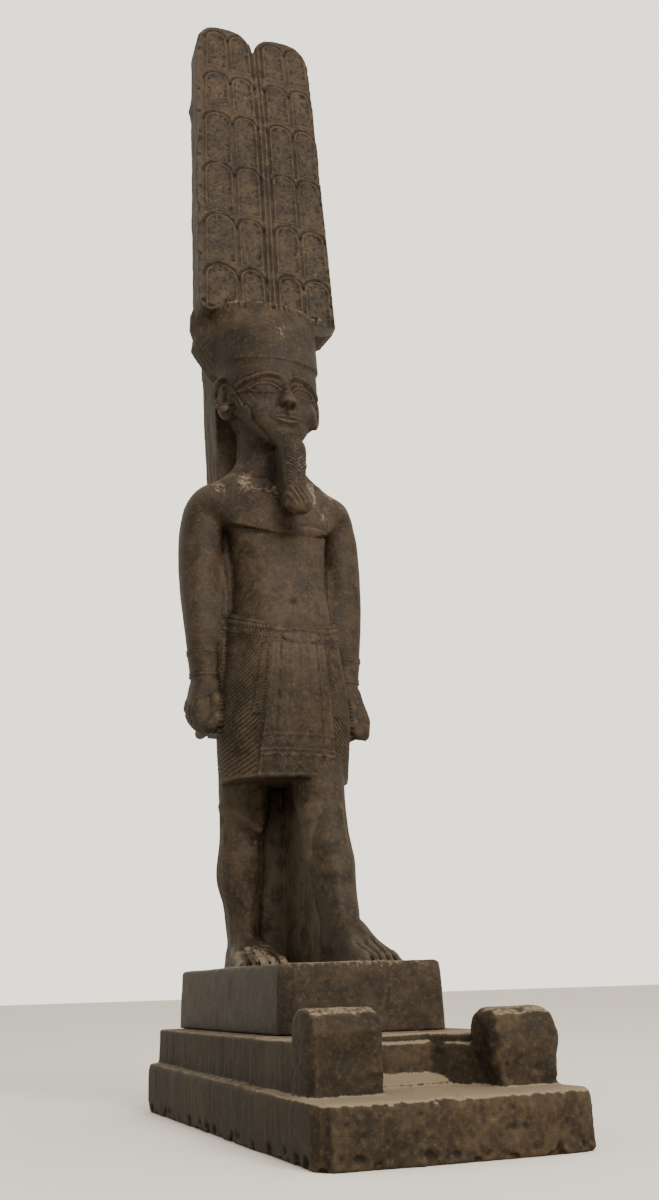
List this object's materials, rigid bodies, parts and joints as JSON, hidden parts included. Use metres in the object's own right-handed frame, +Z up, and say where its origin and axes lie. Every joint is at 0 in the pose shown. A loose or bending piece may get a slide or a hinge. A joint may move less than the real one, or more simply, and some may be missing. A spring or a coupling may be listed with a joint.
{
  "type": "amun-ra statue",
  "caption": "Striding stone figure with a tall double plume crown, plaited beard, pleated kilt and back pillar, standing on a stepped base with two front posts.",
  "frame": {"origin": "centre of the base's footprint, on the surface that the statue stands on", "axes": "+Z up along the figure, -Y the way the figure faces, +X the viewer's right"},
  "size_m": [0.236, 0.567, 1.464],
  "materials": {
    "dark_stone": "worn dark brown basalt, dull sheen on the raised carving, pale dust in the hollows",
    "rough_stone": "dark brown granite, smooth sides, rough speckled front face with ochre stains"
  },
  "bodies": {
    "root": {"statue": "dark_stone", "stepped_base": "rough_stone"}
  },
  "joints": []
}
